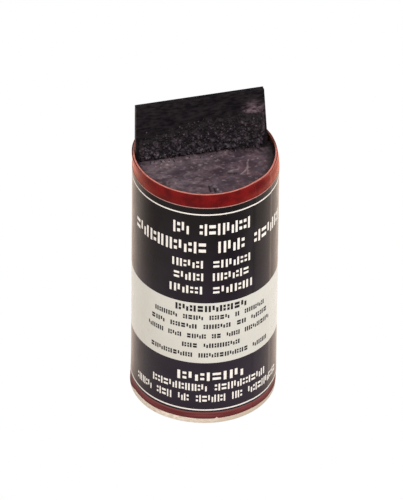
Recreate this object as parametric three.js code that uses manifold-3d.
// Emergency wax flare: a paper tube of dark wax with one wide board wick standing in it.
// Millimetres, +Z up. The origin is the centre of the flat underside. +X runs along the width of
// the wick board, and -Y is the side that the printed label faces.
//
// From the outside in, the wall is a printed label, a red paper wrap, two wound board plies and a
// wax-proof bore liner. A board plug closes the bottom. The wick board stands on the plug and
// reaches from wall to wall, so it parts the wax into a front and a rear casting. Granular wax has
// built up on both faces of the board just above the casting.

import * as THREE from 'three';
import { mergeVertices } from 'three/addons/utils/BufferGeometryUtils.js';
import Module from 'manifold-3d';

// ---- Driving dimensions ----

const OUTER_RADIUS = 26.0; // outside of the label
const TUBE_HEIGHT = 101.6; // four inches

const PAPER = 0.10; // label and red wrap, each
const BOARD_PLY = 0.25; // each wound ply of the tube
const LINER = 0.06; // wax-proof bore liner
const GLUE_LINE = 0.02; // radial room for the glue between two layers
const FACE_GAP = 0.05; // room between two flat faces that meet

const WRAP_BOTTOM = 1.6; // the wrap stops short, so the raw tube shows below it
const LABEL_BOTTOM = 5.0;
const LABEL_TOP = 96.2;

const PLUG_HEIGHT = 2.0;

const WAX_MIDDLE = 98.7; // top of the wax, sunk a little by shrinkage as it set
const WAX_AT_WALL = 99.1; // the wax clings higher at the wall
const WALL_CLING = 0.8; // how far in from the wall the steep part of the rise reaches
const DISH_EDGE = 4.0; // how far in from the wall the gentle part of the rise reaches
const CLING_SHARE = 0.45; // share of the rise that is left where the steep part ends

const WICK_THICKNESS = 2.0;
const WICK_FRONT = 4.3; // the board's front face, behind the tube's axis
const WICK_TOP = 121.7;
const WICK_LEFT = -24.3;
const WICK_RIGHT_FOOT = 24.0;
const WICK_RIGHT_TOP = 22.15; // the free right edge was cut off square
const WICK_SHOULDER = 94.5; // where that slanted cut begins, just under the wax

const CRUST_HALF_WIDTH = 23.0;
const CRUST_FOOT = 98.95;
const CRUST_TOP = 111.5;
const CRUST_FOOT_THICKNESS = 1.3;
const CRUST_TOP_THICKNESS = 0.35;
const CRUST_ROLL = 2.2; // height of the thick roll at the foot
const CRUST_RIGHT_INSET = 0.9; // the crust stops short of the slanted right edge

const SEGMENTS = 96; // around every round piece, all in step, so that layers never cross
const CUT_MARGIN = 1; // how far a cutting slab reaches past what it cuts
const SAME_POINT = 1e-4; // corners this close are one corner

// ---- Worked out from them ----

const wall = layerRadii();
const waxRadius = wall.bore - 2 * GLUE_LINE;
const wickRear = WICK_FRONT + WICK_THICKNESS;
const plugTop = PLUG_HEIGHT + FACE_GAP;

// Inner and outer radius of each layer of the wall, from the label inwards.
function layerRadii() {
  const layers = [
    ['label', PAPER],
    ['wrap', PAPER],
    ['outerPly', BOARD_PLY],
    ['innerPly', BOARD_PLY],
    ['liner', LINER],
  ];
  const radii = {};
  let outer = OUTER_RADIUS;
  for (const [name, thickness] of layers) {
    radii[name] = { outer, inner: outer - thickness };
    outer -= thickness + GLUE_LINE;
  }
  radii.bore = radii.liner.inner;
  return radii;
}

// ---- Finishes ----

const FINISHES = {
  printedLabel: { color: 0x352d35, roughness: 0.32 },
  redWrap: { color: 0x7c2220, roughness: 0.45 },
  paleBoard: { color: 0xe3ceb7, roughness: 0.9 },
  waxedPaper: { color: 0x6b4a3c, roughness: 0.6 },
  darkWax: { color: 0x574a50, roughness: 0.42 },
  soakedBoard: { color: 0x222024, roughness: 0.8 },
  granularWax: { color: 0x2c272c, roughness: 0.55 },
};

function finish(name) {
  return new THREE.MeshStandardMaterial({ ...FINISHES[name], metalness: 0 });
}

// ---- Shape helpers ----

const UP = new THREE.Vector3(0, 0, 1);

// A solid of revolution about +Z from [radius, height] points, listed anticlockwise.
function turned(points) {
  const profile = points.map(([radius, height]) => new THREE.Vector2(radius, height));
  return new THREE.LatheGeometry(profile, SEGMENTS).rotateX(Math.PI / 2);
}

// A plain ring of the wall.
function ring({ outer, inner }, bottom, top) {
  return turned([
    [inner, bottom],
    [outer, bottom],
    [outer, top],
    [inner, top],
    [inner, bottom],
  ]);
}

// A flat outline pushed along the third axis: across and up name the outline's own axes.
function pushed(outline, length, across, up) {
  const shape = new THREE.Shape(outline.map(([a, b]) => new THREE.Vector2(a, b)));
  const geometry = new THREE.ExtrudeGeometry(shape, { depth: length, bevelEnabled: false });
  const along = new THREE.Vector3().crossVectors(across, up);
  return geometry.applyMatrix4(new THREE.Matrix4().makeBasis(across, up, along));
}

function piece(name, geometry, finishName) {
  const mesh = new THREE.Mesh(geometry, finish(finishName));
  mesh.name = name;
  return mesh;
}

// ---- Booleans ----

const wasm = await Module();
wasm.setup();

function toSolid(geometry) {
  const bare = geometry.clone();
  bare.deleteAttribute('normal');
  bare.deleteAttribute('uv');
  const merged = mergeVertices(bare, SAME_POINT);
  const vertProperties = merged.getAttribute('position').array;
  const triVerts = new Uint32Array(merged.getIndex().array);
  return new wasm.Manifold(new wasm.Mesh({ numProp: 3, vertProperties, triVerts }));
}

function toGeometry(solid) {
  const mesh = solid.getMesh();
  const geometry = new THREE.BufferGeometry();
  geometry.setAttribute('position', new THREE.BufferAttribute(mesh.vertProperties, 3));
  geometry.setIndex(new THREE.BufferAttribute(mesh.triVerts, 1));
  geometry.computeVertexNormals();
  return geometry;
}

// ---- The wall and its plug ----

function tubeWall() {
  const group = new THREE.Group();
  group.add(
    piece('label', ring(wall.label, LABEL_BOTTOM, LABEL_TOP), 'printedLabel'),
    piece('red_wrap', ring(wall.wrap, WRAP_BOTTOM, TUBE_HEIGHT), 'redWrap'),
    piece('tube_outer_ply', ring(wall.outerPly, 0, TUBE_HEIGHT), 'paleBoard'),
    piece('tube_inner_ply', ring(wall.innerPly, 0, TUBE_HEIGHT), 'paleBoard'),
    piece('bore_liner', ring(wall.liner, 0, TUBE_HEIGHT), 'waxedPaper'),
  );
  return group;
}

// The board disc that closes the bottom of the bore, flush with the tube's end.
function basePlug() {
  const radius = wall.bore - GLUE_LINE;
  const disc = turned([
    [0, 0],
    [radius, 0],
    [radius, PLUG_HEIGHT],
    [0, PLUG_HEIGHT],
  ]);
  return piece('base_plug', disc, 'paleBoard');
}

// ---- The wax ----

// The whole pour, before the board parts it: dished on top and clinging to the wall.
function wholePour() {
  const rise = WAX_AT_WALL - WAX_MIDDLE;
  return turned([
    [0, plugTop],
    [waxRadius, plugTop],
    [waxRadius, WAX_AT_WALL],
    [waxRadius - WALL_CLING, WAX_MIDDLE + CLING_SHARE * rise],
    [waxRadius - DISH_EDGE, WAX_MIDDLE],
    [0, WAX_MIDDLE],
  ]);
}

// Everything between two planes across the board's thickness direction.
function between(fromY, toY) {
  const width = 2 * (OUTER_RADIUS + CUT_MARGIN);
  const height = TUBE_HEIGHT + 2 * CUT_MARGIN;
  const box = new THREE.BoxGeometry(width, toY - fromY, height);
  return box.translate(0, (fromY + toY) / 2, TUBE_HEIGHT / 2);
}

function waxCasting(name, fromY, toY) {
  const cast = toSolid(wholePour()).intersect(toSolid(between(fromY, toY)));
  return piece(name, toGeometry(cast), 'darkWax');
}

// ---- The wick ----

function wickBoard() {
  const outline = [
    [WICK_LEFT, plugTop + FACE_GAP],
    [WICK_RIGHT_FOOT, plugTop + FACE_GAP],
    [WICK_RIGHT_FOOT, WICK_SHOULDER],
    [WICK_RIGHT_TOP, WICK_TOP],
    [WICK_LEFT, WICK_TOP],
  ];
  const across = new THREE.Vector3(1, 0, 0);
  const slab = pushed(outline, WICK_THICKNESS, across, UP);
  const board = piece('wick_board', slab, 'soakedBoard');
  board.position.y = wickRear; // across x up points to the front, so the board runs that way
  return board;
}

// Granular wax on one face of the board: a thick roll at the foot that thins out upwards.
// side is -1 on the front face and +1 on the rear face.
function wickCrust(name, faceY, side) {
  const section = [
    [0, CRUST_FOOT],
    [CRUST_FOOT_THICKNESS, CRUST_FOOT],
    [CRUST_FOOT_THICKNESS, CRUST_FOOT + CRUST_ROLL / 2],
    [(CRUST_FOOT_THICKNESS + CRUST_TOP_THICKNESS) / 2, CRUST_FOOT + CRUST_ROLL],
    [CRUST_TOP_THICKNESS, CRUST_TOP],
    [0, CRUST_TOP],
  ];
  const length = 2 * CRUST_HALF_WIDTH - CRUST_RIGHT_INSET;
  const outward = new THREE.Vector3(0, side, 0);
  const crust = piece(name, pushed(section, length, outward, UP), 'granularWax');
  // outward x up runs along -X on the front face and +X on the rear one.
  const left = -CRUST_HALF_WIDTH;
  crust.position.set(side < 0 ? left + length : left, faceY + side * FACE_GAP, 0);
  return crust;
}

// ---- The whole flare ----

const flare = new THREE.Group();
flare.add(
  tubeWall(),
  basePlug(),
  waxCasting('wax_front', -OUTER_RADIUS, WICK_FRONT - FACE_GAP),
  waxCasting('wax_rear', wickRear + FACE_GAP, OUTER_RADIUS),
  wickBoard(),
  wickCrust('wick_crust_front', WICK_FRONT, -1),
  wickCrust('wick_crust_rear', wickRear, 1),
);

export default flare;
